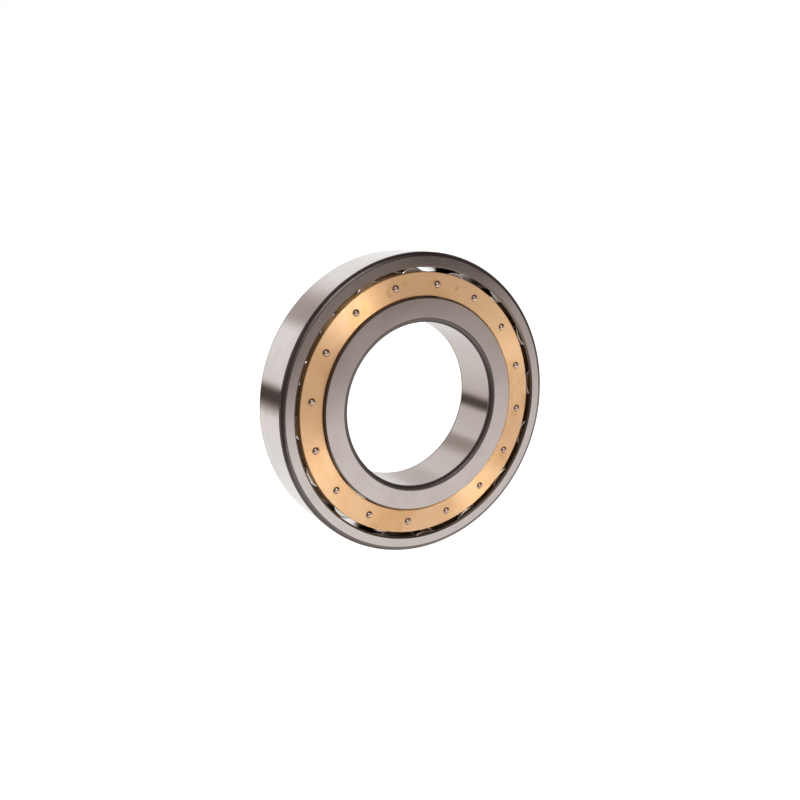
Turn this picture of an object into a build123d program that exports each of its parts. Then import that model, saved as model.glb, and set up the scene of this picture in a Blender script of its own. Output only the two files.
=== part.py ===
"""Single-row cylindrical roller bearing with a riveted brass cage, 110 x 200 x 38 mm.

The inner ring has two fixed ribs that hold the rollers endways. The outer ring has no ribs, so it can float
along the rollers or be drawn off them. The cage is a comb, with one blind pocket for each roller, closed by a
flat cover. Steel rivets run through the cover and the comb's bars, with a round head at each end.

The bearing's axis is Y. Its front, where the cover is, faces -Y. Z is up. The origin is on the axis, at the
middle of the width. All sizes are in millimetres, and angles are in degrees, from +X towards +Z.
"""

from build123d import *

import os
from math import asin, cos, pi, radians, sin

# Rings
BORE_D = 110.0  # the shaft seat
WIDTH = 38.0  # of both rings
INNER_WALL = 11.25  # from the bore to the inner raceway
OUTER_WALL = 9.75  # from the outer raceway to the housing seat
BORE_CORNER_R = 2.8  # rounding between the bore and each side face
OUTER_CORNER_R = 2.8  # rounding between the housing seat and each side face
RIB_W = 5.95  # each inner ring rib, along the axis
RIB_H = 5.0  # each inner ring rib, above the raceway
RIB_FACE_CHAMFER = 0.8  # a rib's rim, on the side face
RIB_RACEWAY_CHAMFER = 0.3  # a rib's rim, on the roller side
UNDERCUT_R = 0.6  # grinding relief in each corner of the inner raceway
RACEWAY_CHAMFER = 1.05  # lead-in at each end of the outer raceway

# Rollers
ROLLER_SPACE = 24.0  # between the two raceways, the rollers' nominal diameter
ROLLER_RUNNING_GAP = 0.03  # from a roller to each raceway
ROLLER_END_PLAY = 0.05  # from a roller's end to each rib
ROLLER_CORNER_R = 1.0
FIRST_ROLLER_ANGLE = 0.75  # in the rest position

# Cage
CAGE_RECESS = 1.6  # from the rings' side faces in to the cage
CAGE_BORE_GAP = 0.7  # from the ribs out to the cage's bore
CAGE_RIM_GAP = 2.9  # from the cage's rim out to the outer raceway
POCKET_GAP = 0.2  # around a roller, in its pocket
POCKET_END_GAP = 0.2  # beyond each end of a roller
BAR_MIN_W = 6.0  # the least brass between two pockets
CAGE_EDGE_CHAMFER = 0.4

# Rivets
RIVET_D = 3.5
RIVET_HEAD_D = 4.7
RIVET_HEAD_H = 1.2
RIVET_HOLE_GAP = 0.03  # around a rivet, in its hole

# Radii, from the bore outwards
BORE_R = BORE_D / 2
INNER_RACEWAY_R = BORE_R + INNER_WALL
RIB_R = INNER_RACEWAY_R + RIB_H
CAGE_BORE_R = RIB_R + CAGE_BORE_GAP
PITCH_R = INNER_RACEWAY_R + ROLLER_SPACE / 2
OUTER_RACEWAY_R = INNER_RACEWAY_R + ROLLER_SPACE
CAGE_RIM_R = OUTER_RACEWAY_R - CAGE_RIM_GAP
OUTER_R = OUTER_RACEWAY_R + OUTER_WALL
ROLLER_R = ROLLER_SPACE / 2 - ROLLER_RUNNING_GAP
POCKET_R = ROLLER_R + POCKET_GAP
RIVET_CIRCLE_R = (CAGE_BORE_R + CAGE_RIM_R) / 2
RIVET_HOLE_R = RIVET_D / 2 + RIVET_HOLE_GAP

# Distances along the axis, from the middle of the width
RACEWAY_END = WIDTH / 2 - RIB_W
ROLLER_END = RACEWAY_END - ROLLER_END_PLAY
POCKET_END = ROLLER_END + POCKET_END_GAP
CAGE_END = WIDTH / 2 - CAGE_RECESS

# As many rollers as leave the least bar between two pockets
ROLLER_COUNT = int(pi / asin((2 * POCKET_R + BAR_MIN_W) / (2 * PITCH_R)))
ROLLER_STEP = 360 / ROLLER_COUNT
FIRST_RIVET_ANGLE = FIRST_ROLLER_ANGLE + ROLLER_STEP / 2

# Faces the front, with X to the right and Z up, so a positive offset is towards the front
FRONT = Plane.XZ

os.makedirs("parts", exist_ok=True)

# Outer ring: a plain tube, rounded outside and chamfered at both ends of its raceway
with BuildPart() as outer_ring:
    with BuildSketch(FRONT.offset(-WIDTH / 2)):
        Circle(OUTER_R)
        Circle(OUTER_RACEWAY_R, mode=Mode.SUBTRACT)
    extrude(amount=WIDTH)
    outer_ring_rims = outer_ring.edges().filter_by(GeomType.CIRCLE).group_by(SortBy.RADIUS)
    fillet(outer_ring_rims[-1], OUTER_CORNER_R)
    chamfer(outer_ring_rims[0], RACEWAY_CHAMFER)

outer_ring.part.label = "outer_ring"
export_step(outer_ring.part, "parts/outer_ring.step")

# Inner ring: a raceway sunk between two ribs, turned from a section in which X is the radius
with BuildPart() as inner_ring:
    with BuildSketch(Plane.XY) as inner_section:
        with BuildLine():
            Polyline(
                (BORE_R, -WIDTH / 2),
                (RIB_R, -WIDTH / 2),
                (RIB_R, -RACEWAY_END),
                (INNER_RACEWAY_R, -RACEWAY_END),
                (INNER_RACEWAY_R, RACEWAY_END),
                (RIB_R, RACEWAY_END),
                (RIB_R, WIDTH / 2),
                (BORE_R, WIDTH / 2),
                close=True,
            )
        make_face()
        fillet(inner_section.vertices().group_by(Axis.X)[0], BORE_CORNER_R)
        rim_corners = inner_section.vertices().group_by(Axis.X)[-1].sort_by(Axis.Y)
        chamfer([rim_corners[0], rim_corners[-1]], RIB_FACE_CHAMFER)
        rim_corners = inner_section.vertices().group_by(Axis.X)[-1].sort_by(Axis.Y)
        chamfer(rim_corners[1:-1], RIB_RACEWAY_CHAMFER)
        with Locations((INNER_RACEWAY_R, -RACEWAY_END), (INNER_RACEWAY_R, RACEWAY_END)):
            Circle(UNDERCUT_R, mode=Mode.SUBTRACT)
    revolve(axis=Axis.Y)

inner_ring.part.label = "inner_ring"
export_step(inner_ring.part, "parts/inner_ring.step")

# Cage body: the comb, with its pockets open to the front and a rivet hole through each bar
with BuildPart() as cage_body:
    with BuildSketch(FRONT.offset(-CAGE_END)):
        Circle(CAGE_RIM_R)
        Circle(CAGE_BORE_R, mode=Mode.SUBTRACT)
    extrude(amount=CAGE_END + POCKET_END)
    chamfer(cage_body.edges().group_by(Axis.Y)[-1], CAGE_EDGE_CHAMFER)
    with BuildSketch(FRONT.offset(-POCKET_END)):
        with PolarLocations(PITCH_R, ROLLER_COUNT, start_angle=FIRST_ROLLER_ANGLE):
            Circle(POCKET_R)
    extrude(amount=2 * POCKET_END, mode=Mode.SUBTRACT)
    with BuildSketch(FRONT.offset(-CAGE_END)):
        with PolarLocations(RIVET_CIRCLE_R, ROLLER_COUNT, start_angle=FIRST_RIVET_ANGLE):
            Circle(RIVET_HOLE_R)
    extrude(amount=CAGE_END + POCKET_END, mode=Mode.SUBTRACT)

cage_body.part.label = "cage_body"
export_step(cage_body.part, "parts/cage_body.step")

# Cage cover: a flat ring, seated on the front ends of the comb's bars
with BuildPart() as cage_cover:
    with BuildSketch(FRONT.offset(POCKET_END)):
        Circle(CAGE_RIM_R)
        Circle(CAGE_BORE_R, mode=Mode.SUBTRACT)
    extrude(amount=CAGE_END - POCKET_END)
    chamfer(cage_cover.edges().group_by(Axis.Y)[0], CAGE_EDGE_CHAMFER)
    with BuildSketch(FRONT.offset(POCKET_END)):
        with PolarLocations(RIVET_CIRCLE_R, ROLLER_COUNT, start_angle=FIRST_RIVET_ANGLE):
            Circle(RIVET_HOLE_R)
    extrude(amount=CAGE_END - POCKET_END, mode=Mode.SUBTRACT)

cage_cover.part.label = "cage_cover"
export_step(cage_cover.part, "parts/cage_cover.step")

# One rivet, its axis on Z and its middle at the origin, turned from half of its section
HEAD_TOP = CAGE_END + RIVET_HEAD_H
DOME_R = ((RIVET_HEAD_D / 2) ** 2 + RIVET_HEAD_H**2) / (2 * RIVET_HEAD_H)
DOME_ARC = asin(RIVET_HEAD_D / 2 / DOME_R)
DOME_MID = (DOME_R * sin(DOME_ARC / 2), HEAD_TOP - DOME_R + DOME_R * cos(DOME_ARC / 2))

with BuildPart() as rivet:
    with BuildSketch(Plane.XZ):
        with BuildLine():
            Polyline((0, 0), (RIVET_D / 2, 0), (RIVET_D / 2, CAGE_END), (RIVET_HEAD_D / 2, CAGE_END))
            ThreePointArc((RIVET_HEAD_D / 2, CAGE_END), DOME_MID, (0, HEAD_TOP))
            Line((0, HEAD_TOP), (0, 0))
        make_face()
        mirror(about=Plane.XZ)
    revolve(axis=Axis.Z)

# Cage rivets: one through the middle of each bar
with BuildPart(FRONT) as cage_rivets:
    with PolarLocations(RIVET_CIRCLE_R, ROLLER_COUNT, start_angle=FIRST_RIVET_ANGLE):
        add(rivet.part)

cage_rivets.part.label = "cage_rivets"
export_step(cage_rivets.part, "parts/cage_rivets.step")

# Rollers: plain cylinders with rounded corners, each in a node of its own
for index in range(ROLLER_COUNT):
    roller_angle = radians(FIRST_ROLLER_ANGLE + index * ROLLER_STEP)
    roller_name = f"roller_{index + 1:02d}"
    with BuildPart() as roller:
        with BuildSketch(FRONT.offset(-ROLLER_END)):
            with Locations((PITCH_R * cos(roller_angle), PITCH_R * sin(roller_angle))):
                Circle(ROLLER_R)
        extrude(amount=2 * ROLLER_END)
        fillet(roller.edges().filter_by(GeomType.CIRCLE), ROLLER_CORNER_R)
    roller.part.label = roller_name
    export_step(roller.part, f"parts/{roller_name}.step")
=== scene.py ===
"""A cylindrical roller bearing on a pale floor: finishes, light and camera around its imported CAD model.

All lengths are in metres. The bearing's axis is Y, its front faces -Y, Z is up and the origin is its centre.
"""

import math
from collections import namedtuple

import bpy
from mathutils import Matrix, Vector


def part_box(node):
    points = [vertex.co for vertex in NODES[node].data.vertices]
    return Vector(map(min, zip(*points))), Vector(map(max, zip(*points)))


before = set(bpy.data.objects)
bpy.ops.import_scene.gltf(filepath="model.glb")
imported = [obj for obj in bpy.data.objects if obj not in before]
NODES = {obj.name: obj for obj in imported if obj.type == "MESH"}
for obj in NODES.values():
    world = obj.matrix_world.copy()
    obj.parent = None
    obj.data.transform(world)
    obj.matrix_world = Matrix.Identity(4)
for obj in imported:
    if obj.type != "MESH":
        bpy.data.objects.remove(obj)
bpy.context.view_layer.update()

FLOOR_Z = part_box("outer_ring")[0].z
WHITE = (1, 1, 1, 1)


# ---------------------------------------------------------------------------------------------------------
# Node graphs
# ---------------------------------------------------------------------------------------------------------


class Graph:
    """Adds nodes to one node tree. An input is a socket to link, or a value to set on the new node."""

    def __init__(self, tree):
        self.tree = tree
        tree.nodes.clear()

    def node(self, kind, inputs=None, **settings):
        made = self.tree.nodes.new(kind)
        for name, value in settings.items():
            setattr(made, name, value)
        for name, value in (inputs or {}).items():
            if isinstance(value, bpy.types.NodeSocket):
                self.tree.links.new(value, made.inputs[name])
            else:
                made.inputs[name].default_value = value
        return made

    def math(self, operation, a, b=0.0):
        return self.node("ShaderNodeMath", {0: a, 1: b}, operation=operation).outputs[0]

    def plus(self, total, *others):
        for other in others:
            total = self.math("ADD", total, other)
        return total

    def minus(self, a, b):
        return self.math("SUBTRACT", a, b)

    def times(self, product, *others):
        for other in others:
            product = self.math("MULTIPLY", product, other)
        return product

    def distance(self, a, b):
        """How far a point is that lies a along one axis and b along the other."""
        return self.math("SQRT", self.plus(self.math("POWER", a, 2.0), self.math("POWER", b, 2.0)))

    def dot(self, a, b):
        """How much of the direction a goes along the direction b."""
        return self.node("ShaderNodeVectorMath", {0: a, 1: b}, operation="DOT_PRODUCT").outputs["Value"]

    def smooth(self, value, low, high, start=0.0, end=1.0):
        """Goes from start to end, without corners, as value goes from low to high."""
        inputs = {"Value": value, "From Min": low, "From Max": high, "To Min": start, "To Max": end}
        return self.node("ShaderNodeMapRange", inputs, interpolation_type="SMOOTHSTEP").outputs["Result"]

    def ramp(self, value, stops):
        """Joins (value, brightness) stops with straight lines."""
        low, high = stops[0][0], stops[-1][0]
        inputs = {"Value": value, "From Min": low, "From Max": high}
        share = self.node("ShaderNodeMapRange", inputs).outputs["Result"]
        made = self.node("ShaderNodeValToRGB", {"Fac": share})
        points = made.color_ramp.elements
        while len(points) < len(stops):
            points.new(1.0)
        for point, (place, brightness) in zip(points, stops):
            point.position = (place - low) / (high - low)
            point.color = (brightness, brightness, brightness, 1.0)
        return made.outputs["Color"]

    def mix(self, share, a, b):
        """A colour between a and b. A grey level can stand for a colour."""
        made = self.node("ShaderNodeMix", {"Factor": share}, data_type="RGBA")
        for name, value in (("A", a), ("B", b)):
            socket = [s for s in made.inputs if s.name == name and s.type == "RGBA"][0]
            if isinstance(value, bpy.types.NodeSocket):
                self.tree.links.new(value, socket)
            else:
                socket.default_value = (*value, 1.0)
        return [s for s in made.outputs if s.type == "RGBA"][0]

    def noise(self, vector, scale=1.0, detail=3.0, roughness=0.55, w=None):
        inputs = {"Vector": vector, "Scale": scale, "Detail": detail, "Roughness": roughness}
        if w is not None:
            inputs["W"] = w
        made = self.node("ShaderNodeTexNoise", inputs, noise_dimensions="3D" if w is None else "4D")
        return made.outputs["Fac"]


# ---------------------------------------------------------------------------------------------------------
# Studio: surroundings, floor and camera
#
# The surroundings are a brightness for each direction, whose x goes from left to right, y from front to
# back and z from down to up, all as shares of a length of 1.
# ---------------------------------------------------------------------------------------------------------

DIM_LIGHT_TINT = (1.0, 0.86, 0.78)
BRIGHT_LIGHT_TINT = (0.98, 1.0, 1.01)

# The table's brightness from its near part up to its far edge, as (height, brightness).
TABLE_ON_THE_RIGHT = [
    (-0.42, 0.80),
    (-0.355, 0.90),
    (-0.32, 0.93),
    (-0.28, 0.90),
    (-0.25, 0.84),
    (-0.22, 0.72),
    (-0.18, 0.58),
    (-0.15, 0.53),
    (-0.13, 0.53),
    (-0.115, 0.32),
    (-0.10, 0.11),
    (-0.08, 0.09),
]
TABLE_ON_THE_LEFT = [
    (-0.42, 0.84),
    (-0.355, 0.93),
    (-0.32, 0.98),
    (-0.28, 0.95),
    (-0.255, 0.91),
    (-0.225, 0.82),
    (-0.20, 0.62),
    (-0.185, 0.48),
    (-0.165, 0.36),
    (-0.14, 0.20),
    (-0.08, 0.20),
]
TABLE_SLOPE = 0.3  # how much lower the table's far edge is, for each step to the left
TABLE_LEVEL_X = 0.5  # where heights over the table need no correction for its slope

LAMP_AIM = (0.075, -0.90, 0.42)
LAMP_WIDTH = 0.32
LAMP_HEIGHT = 0.40
LAMP_BRIGHTNESS = 6.0


def front_light(graph, x, z):
    """A lit table in front, whose far edge is a little lower to the left, in a dark room."""
    rise = graph.times(graph.minus(x, TABLE_LEVEL_X), TABLE_SLOPE)
    lower_edge_at_right = graph.smooth(x, 0.56, 0.61, 0.0, 0.018)
    height = graph.plus(graph.minus(z, rise), lower_edge_at_right)
    on_right = graph.smooth(x, 0.38, 0.455)
    left = graph.ramp(height, TABLE_ON_THE_LEFT)
    right = graph.ramp(height, TABLE_ON_THE_RIGHT)
    dimmer_right = graph.smooth(x, 0.54, 0.59, 1.0, 0.87)
    table = graph.times(graph.mix(on_right, left, right), dimmer_right)

    left_glow = graph.smooth(x, 0.12, 0.31, 1.0, 0.0)
    left_end = graph.smooth(x, -0.55, -0.30)
    right_glow = graph.smooth(x, 0.65, 0.76, 0.0, 2.2)
    right_end = graph.smooth(x, 0.84, 0.94, 1.0, 0.05)
    not_below = graph.smooth(z, -0.75, -0.55)
    glow_beside = graph.plus(graph.times(left_glow, left_end), graph.times(right_glow, right_end))
    glow_beside = graph.times(glow_beside, not_below)

    near_glow = graph.smooth(height, -0.62, -0.43, 1.7, 0.0)
    near_end = graph.smooth(z, -0.88, -0.76)
    not_far_right = graph.smooth(x, 0.72, 0.84, 1.0, 0.0)
    glow_nearer = graph.times(near_glow, near_end, not_far_right)

    table = graph.times(table, graph.plus(1.0, glow_beside, glow_nearer))
    room = graph.smooth(x, 0.47, 0.55, 0.22, 0.09)
    return graph.math("MAXIMUM", table, room)


def back_light(graph, x, y, z):
    """A bright backdrop, with a dark gap along the table's far edge and a grey patch high on the left."""
    brighter_straight_back = graph.smooth(y, 0.81, 0.88, 0.94, 1.03)
    dimmer_left = graph.smooth(x, -0.62, -0.35, 0.84, 1.0)
    level = graph.times(brighter_straight_back, dimmer_left)

    upper = graph.smooth(z, 0.0, 0.24)
    right = graph.smooth(x, 0.18, 0.38, 0.0, 0.22)
    not_straight_back = graph.smooth(y, 0.83, 0.87, 1.0, 0.0)
    dip = graph.times(upper, right, not_straight_back)
    level = graph.times(level, graph.minus(1.0, dip))

    edge_drop = 0.152
    edge_slope = 0.176
    over_edge = graph.plus(z, edge_drop, graph.times(x, edge_slope))
    wider_left = graph.smooth(x, -0.62, -0.38, 0.6, 1.0)
    gap_bottom = graph.smooth(over_edge, -0.13, -0.02)
    gap_top = graph.smooth(graph.times(over_edge, wider_left), 0.03, 0.09, 1.0, 0.0)
    gap_depth = graph.smooth(x, -0.20, 0.05, 0.92, 0.0)
    gap = graph.times(gap_bottom, gap_top, gap_depth)

    patch_slope = 1.5
    slant = graph.plus(x, graph.times(z, patch_slope))
    patch_start = graph.smooth(slant, 0.15, 0.36)
    patch_end = graph.smooth(slant, 0.48, 0.82, 1.0, 0.0)
    patch_depth = graph.smooth(x, -0.05, 0.20, 0.50, 0.0)
    patch = graph.times(patch_start, patch_end, patch_depth)

    return graph.times(level, graph.times(graph.minus(1.0, gap), graph.minus(1.0, patch)))


def softbox(graph, direction, aim, width, height, brightness):
    """A soft lamp seen towards aim: a blurred spot, width by height, in sines of the angle."""
    bright_part = 0.15  # from here on it fades, as a share of its size
    whole_part = 0.85  # and here it ends
    aim = Vector(aim).normalized()
    across = aim.cross(Vector((0, 0, 1))).normalized()
    upwards = across.cross(aim)
    glow = graph.smooth(graph.dot(direction, aim), 0.0, 0.1, 0.0, brightness)
    for axis, size in ((across, width), (upwards, height)):
        off = graph.math("ABSOLUTE", graph.dot(direction, axis))
        glow = graph.times(glow, graph.smooth(off, size * bright_part, size * whole_part, 1.0, 0.0))
    return glow


def make_surroundings():
    """What the metal mirrors, as a brightness for each direction. The camera itself sees plain white."""
    world = bpy.data.worlds.new("studio")
    bpy.context.scene.world = world
    world.use_nodes = True
    graph = Graph(world.node_tree)
    direction = graph.node("ShaderNodeTexCoord").outputs["Generated"]
    parts = graph.node("ShaderNodeSeparateXYZ", {"Vector": direction}).outputs
    x, y, z = parts["X"], parts["Y"], parts["Z"]
    behind = graph.smooth(y, -0.12, 0.20)
    level = graph.mix(behind, front_light(graph, x, z), back_light(graph, x, y, z))
    dimmer_overhead = graph.smooth(z, 0.60, 0.80, 1.0, 0.4)
    lamp = softbox(graph, direction, LAMP_AIM, LAMP_WIDTH, LAMP_HEIGHT, LAMP_BRIGHTNESS)
    level = graph.plus(graph.times(level, dimmer_overhead), lamp)
    tint = graph.mix(graph.smooth(level, 0.05, 1.1), DIM_LIGHT_TINT, BRIGHT_LIGHT_TINT)
    seen = graph.node("ShaderNodeLightPath").outputs["Is Camera Ray"]
    mirrored = graph.node("ShaderNodeBackground", {"Color": tint, "Strength": level}).outputs[0]
    backdrop = graph.node("ShaderNodeBackground", {"Color": WHITE, "Strength": 1.0}).outputs[0]
    both = graph.node("ShaderNodeMixShader", {0: seen, 1: mirrored, 2: backdrop}).outputs[0]
    graph.node("ShaderNodeOutputWorld", {"Surface": both})


FLOOR_HALF_SIZE = 40.0
FLOOR_GLOW = 0.87


def make_floor():
    """A pale table that the bearing stands on. Its own glow keeps all but the contact shadow white."""
    mesh = bpy.data.meshes.new("floor")
    half = FLOOR_HALF_SIZE
    corners = [(-half, -half, FLOOR_Z), (half, -half, FLOOR_Z), (half, half, FLOOR_Z), (-half, half, FLOOR_Z)]
    mesh.from_pydata(corners, [], [(0, 1, 2, 3)])
    floor = bpy.data.objects.new("floor", mesh)
    bpy.context.scene.collection.objects.link(floor)
    floor.visible_glossy = False
    material = bpy.data.materials.new("floor_white")
    material.use_nodes = True
    graph = Graph(material.node_tree)
    place = graph.node("ShaderNodeTexCoord").outputs["Object"]
    paper = graph.smooth(graph.noise(place, 40.0), 0.3, 0.7, 0.86, 0.88)
    inputs = {"Base Color": paper, "Roughness": 0.9, "Emission Color": WHITE, "Emission Strength": FLOOR_GLOW}
    shader = graph.node("ShaderNodeBsdfPrincipled", inputs)
    graph.node("ShaderNodeOutputMaterial", {"Surface": shader.outputs[0]})
    floor.data.materials.append(material)


CAMERA_AZIMUTH = math.radians(-30.2)
CAMERA_ELEVATION = math.radians(13.7)
CAMERA_ROLL = math.radians(2.2)
CAMERA_DISTANCE = 0.5385
CAMERA_LENS_MM = 35.7
CAMERA_SENSOR_MM = 36.0
CAMERA_SHIFT_X = -0.0111
CAMERA_SHIFT_Y = 0.0006


def make_camera():
    """Looks at the bearing's centre from the front left, a little above, and leans slightly to one side."""
    data = bpy.data.cameras.new("camera")
    data.sensor_width = CAMERA_SENSOR_MM
    data.lens = CAMERA_LENS_MM
    data.shift_x = CAMERA_SHIFT_X
    data.shift_y = CAMERA_SHIFT_Y
    data.clip_start = 0.01
    camera = bpy.data.objects.new("camera", data)
    bpy.context.scene.collection.objects.link(camera)
    x = math.sin(CAMERA_AZIMUTH) * math.cos(CAMERA_ELEVATION)
    y = -math.cos(CAMERA_AZIMUTH) * math.cos(CAMERA_ELEVATION)
    z = math.sin(CAMERA_ELEVATION)
    away = Vector((x, y, z))
    place = Matrix.Translation(away * CAMERA_DISTANCE)
    aim = away.to_track_quat("Z", "Y").to_matrix().to_4x4()
    camera.matrix_world = place @ aim @ Matrix.Rotation(-CAMERA_ROLL, 4, "Z")
    bpy.context.scene.camera = camera


# ---------------------------------------------------------------------------------------------------------
# Finishes
# ---------------------------------------------------------------------------------------------------------

# Where a point of a turned piece is: its place, its distance from the axis, how far along the axis it is,
# and the cosine and sine of its angle round the axis.
Turned = namedtuple("Turned", "place radius along cosine sine")


def turned_coordinates(graph, centred=False):
    """Where the point being coloured is. The marks are laid out by it, so they turn with their piece.

    A piece that has an axis of its own is centred on its own box, and its lengths are shares of that box."""
    outputs = graph.node("ShaderNodeTexCoord").outputs
    place = outputs["Object"]
    if centred:
        inputs = {0: outputs["Generated"], 1: (0.5, 0.5, 0.5)}
        place = graph.node("ShaderNodeVectorMath", inputs, operation="SUBTRACT").outputs[0]
    parts = graph.node("ShaderNodeSeparateXYZ", {"Vector": place}).outputs
    x, y, z = parts["X"], parts["Y"], parts["Z"]
    radius = graph.distance(x, z)
    over_zero = graph.math("MAXIMUM", radius, 1e-5)
    return Turned(place, radius, y, graph.math("DIVIDE", x, over_zero), graph.math("DIVIDE", z, over_zero))


def turning_lines(graph, turned, per_metre, around):
    """Fine lines that run round the axis, over faces and cylinders alike. A low around makes them long."""
    inputs = {
        "X": graph.times(turned.radius, per_metre),
        "Y": graph.times(turned.along, per_metre),
        "Z": graph.times(turned.cosine, around),
    }
    vector = graph.node("ShaderNodeCombineXYZ", inputs).outputs[0]
    return graph.noise(vector, roughness=0.6, w=graph.times(turned.sine, around))


def between(graph, value, low, high):
    """1 where value is between low and high, and 0 elsewhere, with a short soft step."""
    soft = 1e-4
    over_low = graph.smooth(value, low - soft, low)
    under_high = graph.smooth(value, high, high + soft, 1.0, 0.0)
    return graph.times(over_low, under_high)


FINE_LINES_AROUND = 6.0
COARSE_LINES_AROUND = 2.5
COARSENESS = 7  # how many fine lines go into a coarse one
COARSE_HEIGHT = 0.6  # of a coarse line, to that of a fine one
SHADED = 0.90  # the colour in the coarse lines' hollows
SMUDGE_ROUGHER = 0.04
ACROSS_THE_LINES = 0.25  # of a turn, which spreads the gloss across the lines and not along them


def metal(name, color, spots, roughness, anisotropy, bump, lines, smudge_scale, marks=None, centred=False):
    """A turned or ground metal: fine lines round the axis, gloss brushed across them, and faint smudges.

    marks lists the marked areas, each as how much of it there is, its tint and how much rougher it is."""
    material = bpy.data.materials.new(name)
    material.use_nodes = True
    graph = Graph(material.node_tree)
    turned = turned_coordinates(graph, centred)
    fine = turning_lines(graph, turned, lines, FINE_LINES_AROUND)
    coarse = turning_lines(graph, turned, lines / COARSENESS, COARSE_LINES_AROUND)
    smudges = graph.smooth(graph.noise(turned.place, smudge_scale, 4.0), 0.42, 0.68)
    shaded = tuple(c * SHADED for c in color)
    shading = graph.smooth(coarse, 0.35, 0.75, 0.0, 0.55)
    tone = graph.mix(shading, graph.mix(smudges, color, spots), shaded)
    gloss = graph.smooth(fine, 0.25, 0.75, roughness * 0.85, roughness * 1.18)
    gloss = graph.plus(gloss, graph.times(smudges, SMUDGE_ROUGHER))
    if marks:
        for share, tint, rougher in marks(graph, turned):
            tone = graph.mix(share, tone, tint)
            gloss = graph.plus(gloss, graph.times(share, rougher))
    height = graph.plus(fine, graph.times(coarse, COARSE_HEIGHT))
    normal = graph.node("ShaderNodeBump", {"Height": height, "Strength": 1.0, "Distance": bump}).outputs[0]
    tangent = graph.node("ShaderNodeTangent", direction_type="RADIAL", axis="Y").outputs[0]
    inputs = {
        "Base Color": tone,
        "Metallic": 1.0,
        "Roughness": gloss,
        "Anisotropic": anisotropy,
        "Anisotropic Rotation": ACROSS_THE_LINES,
        "Normal": normal,
        "Tangent": tangent,
    }
    shader = graph.node("ShaderNodeBsdfPrincipled", inputs)
    graph.node("ShaderNodeOutputMaterial", {"Surface": shader.outputs[0]})
    return material


UNGROUND = (0.125, 0.105, 0.098)
# Painted shade: the dark tint of the chamfers at the edges of the gaps between the rings and the cage, where
# shade falls.
PAINTED_GAP_SHADE = (0.20, 0.165, 0.14)

# A zone of a ring or of the cage lies between two radii and two depths, which are measured from mid width.
Zone = namedtuple("Zone", "radii depths tint rougher")
OUTER_RING_ZONES = {
    "unground corners": Zone((0.0970, 0.1001), (0.0160, 0.0191), UNGROUND, 0.22),
    # The raceway's tint, a little darker than the ring's, is painted shade inside the bearing.
    "raceway": Zone((0.0900, 0.0903), (0.0, 0.0180), (0.62, 0.56, 0.52), 0.0),
    # Painted shade on the chamfer at the edge of the gap.
    "raceway chamfer": Zone((0.0903, 0.0914), (0.0178, 0.0191), PAINTED_GAP_SHADE, 0.26),
}
OUTER_RING_NICKS = Zone((0.0915, 0.0970), (0.0188, 0.0192), (0.80, 0.75, 0.72), 0.30)
INNER_RING_ZONES = {
    "unground corners": Zone((0.0540, 0.0580), (0.0160, 0.0191), UNGROUND, 0.34),
    "bore": Zone((0.0540, 0.0551), (0.0, 0.0162), (0.59, 0.52, 0.49), 0.03),
    # The raceway's darker tint is painted shade inside the bearing, under the cage and rollers.
    "raceway": Zone((0.0640, 0.0709), (0.0, 0.0136), (0.52, 0.45, 0.40), 0.05),
    # Painted reflection: the rim of each rib, across the gap from the cage, gets the cage's brass colour.
    "rim of each rib with the cage as painted reflection": Zone((0.0711, 0.0713), (0.0, 0.0183), (0.80, 0.64, 0.46), 0.12),
    # Painted shade on the rib's chamfer at the edge of the gap.
    "rib chamfer": Zone((0.07045, 0.0713), (0.0180, 0.0191), PAINTED_GAP_SHADE, 0.20),
}
CAGE_ZONES = {
    # Painted shade: the cage's rim, sunk below the rings' faces and facing the outer ring across the gap,
    # gets a dark brown tint.
    "rim in painted shade": Zone((0.0872, 0.0880), (0.0, 0.0171), (0.46, 0.28, 0.13), 0.05),
    # Painted shade: the cage's bore, across the gap from the ribs, gets a darker brass tint.
    "bore": Zone((0.0700, 0.0721), (0.0, 0.0171), (0.84, 0.52, 0.26), 0.05),
}


def inside(graph, turned, zone):
    """1 in the zone, and 0 elsewhere."""
    depth = graph.math("ABSOLUTE", turned.along)
    return graph.times(between(graph, turned.radius, *zone.radii), between(graph, depth, *zone.depths))


def zone_marks(graph, turned, zones):
    return [(inside(graph, turned, zone), zone.tint, zone.rougher) for zone in zones.values()]


def outer_ring_marks(graph, turned):
    """The ring's zones, and small nicks, in clusters, on its faces."""
    nicks = graph.smooth(graph.noise(turned.place, 900.0, 2.0), 0.70, 0.74)
    clusters = graph.smooth(graph.noise(turned.place, 60.0, 2.0), 0.50, 0.62)
    nicks = graph.times(nicks, clusters, inside(graph, turned, OUTER_RING_NICKS))
    marks = zone_marks(graph, turned, OUTER_RING_ZONES)
    marks.append((nicks, OUTER_RING_NICKS.tint, OUTER_RING_NICKS.rougher))
    return marks


def inner_ring_marks(graph, turned):
    return zone_marks(graph, turned, INNER_RING_ZONES)


RIVETS = 16
FIRST_RIVET_ANGLE = math.radians(12.0)
RIVET_CIRCLE_R = 0.07965
RIVET_HEAD_R = 0.00235


def distance_from_rivet(graph, turned):
    """How far a point of the cage's face is from the middle of the nearest rivet."""
    step = 2 * math.pi / RIVETS
    turn = graph.minus(graph.math("ARCTAN2", turned.sine, turned.cosine), FIRST_RIVET_ANGLE)
    turn = graph.math("DIVIDE", turn, step)
    off = graph.minus(turn, graph.math("ROUND", turn))
    sideways = graph.times(off, step * RIVET_CIRCLE_R)
    outwards = graph.minus(turned.radius, RIVET_CIRCLE_R)
    return graph.distance(sideways, outwards)


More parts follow.
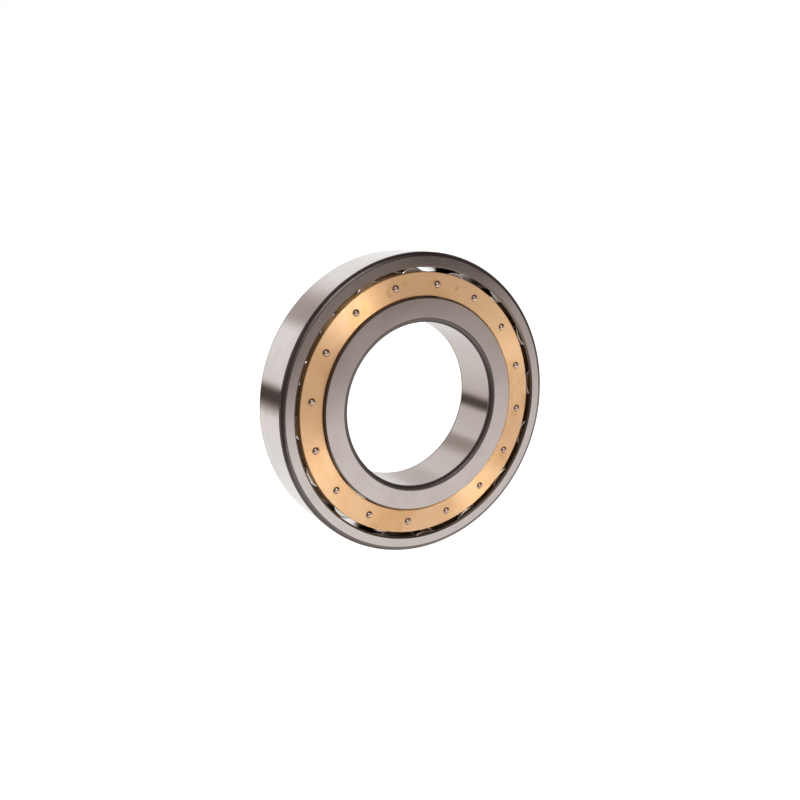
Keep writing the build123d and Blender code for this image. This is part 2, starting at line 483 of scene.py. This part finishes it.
def rivet_marks(graph, turned):
    """Painted shade at the foot of each head, where it meets the cage."""
    distance = distance_from_rivet(graph, turned)
    foot_shade = graph.smooth(distance, RIVET_HEAD_R * 0.8, RIVET_HEAD_R, 0.0, 0.35)
    return [(foot_shade, (0.26, 0.16, 0.11), 0.15)]


HONEY = (1.0, 0.66, 0.27)
TARNISH = (0.90, 0.52, 0.22)
BROWN = (0.78, 0.42, 0.18)
TIDE_LINE = (0.78, 0.44, 0.19)

# Each stain's angle round the cage in degrees, distance from the axis, size and tint.
Stain = namedtuple("Stain", "degrees radius size tint")
STAINS = [
    Stain(119.0, 0.0793, 0.0045, HONEY),
    Stain(106.0, 0.0775, 0.0036, BROWN),
    Stain(97.0, 0.0815, 0.0028, TARNISH),
    Stain(81.5, 0.0805, 0.0026, BROWN),
    Stain(68.0, 0.0800, 0.0026, BROWN),
    Stain(352.0, 0.0792, 0.0032, TARNISH),
    Stain(346.0, 0.0785, 0.0034, TARNISH),
    Stain(324.0, 0.0800, 0.0034, TARNISH),
]
STAIN_SQUEEZE = 1.3  # how many times longer a stain is outwards than round the axis
STAIN_WOBBLE = 3.0  # how ragged its edge is
STAIN_STRENGTH = 0.6
STAIN_CORE = 0.3  # out to here it is at full strength, as a share of its size
STAIN_EDGE = 1.15  # and here it ends
STAIN_ROUGHER = 0.04


def brass_marks(graph, turned):
    """The cage's zones, painted shade round the rivet heads, stains, and the thin lines left by drying oil.
    """
    marks = zone_marks(graph, turned, CAGE_ZONES)
    distance = distance_from_rivet(graph, turned)
    # Painted shade: a darker ring on the brass round the foot of each rivet head.
    foot_shade = graph.smooth(distance, RIVET_HEAD_R, RIVET_HEAD_R * 1.2, 0.45, 0.0)
    marks.append((foot_shade, (0.35, 0.19, 0.09), 0.1))

    angle = graph.math("ARCTAN2", turned.sine, turned.cosine)
    wobble = graph.minus(graph.noise(turned.place, 330.0, 4.0), 0.5)
    for stain in STAINS:
        centre = math.radians((stain.degrees + 180) % 360 - 180)
        sideways = graph.times(graph.minus(angle, centre), stain.radius * STAIN_SQUEEZE)
        outwards = graph.minus(turned.radius, stain.radius)
        ragged = graph.times(wobble, stain.size * STAIN_WOBBLE)
        off = graph.plus(graph.distance(sideways, outwards), ragged)
        share = graph.smooth(off, stain.size * STAIN_CORE, stain.size * STAIN_EDGE, STAIN_STRENGTH, 0.0)
        marks.append((share, stain.tint, STAIN_ROUGHER))

    middle = graph.math("ABSOLUTE", graph.minus(graph.noise(turned.place, 95.0, 2.0), 0.5))
    line = graph.smooth(middle, 0.004, 0.020, 0.42, 0.0)
    here_and_there = graph.smooth(graph.noise(turned.place, 38.0, 1.0), 0.50, 0.60)
    marks.append((graph.times(line, here_and_there), TIDE_LINE, 0.05))
    return marks


# bump is the height of the lines in metres. Lines and smudges are counted by the metre, but a roller's are
# counted over its own box.
FINISHES = {
    "outer_ring_steel": dict(
        color=(0.67, 0.60, 0.57), spots=(0.61, 0.54, 0.51), roughness=0.11, anisotropy=0.4,
        bump=2e-7, lines=9000.0, smudge_scale=28.0, marks=outer_ring_marks,
    ),
    "inner_ring_steel": dict(
        color=(0.65, 0.57, 0.54), spots=(0.59, 0.51, 0.48), roughness=0.12, anisotropy=0.4,
        bump=2e-7, lines=9000.0, smudge_scale=28.0, marks=inner_ring_marks,
    ),
    "roller_steel": dict(
        color=(0.72, 0.67, 0.64), spots=(0.62, 0.56, 0.53), roughness=0.14, anisotropy=0.4,
        bump=2e-7, lines=60.0, smudge_scale=3.0, centred=True,
    ),
    "cage_brass": dict(
        color=(1.0, 0.635, 0.355), spots=(0.97, 0.57, 0.275), roughness=0.37, anisotropy=0.97,
        bump=5e-7, lines=7000.0, smudge_scale=45.0, marks=brass_marks,
    ),
    "rivet_steel": dict(
        color=(0.45, 0.33, 0.28), spots=(0.36, 0.25, 0.20), roughness=0.23, anisotropy=0.0,
        bump=6e-7, lines=3000.0, smudge_scale=400.0, marks=rivet_marks,
    ),
}
PAINTED = {
    "outer_ring_steel": ["outer_ring"],
    "inner_ring_steel": ["inner_ring"],
    "roller_steel": [name for name in NODES if name.startswith("roller_")],
    "cage_brass": ["cage_body", "cage_cover"],
    "rivet_steel": ["cage_rivets"],
}


def paint_everything():
    for finish, node_names in PAINTED.items():
        material = metal(finish, **FINISHES[finish])
        for name in node_names:
            materials = NODES[name].data.materials
            materials.clear()
            materials.append(material)


make_camera()
make_surroundings()
make_floor()
paint_everything()

bpy.context.scene.view_settings.view_transform = "Standard"
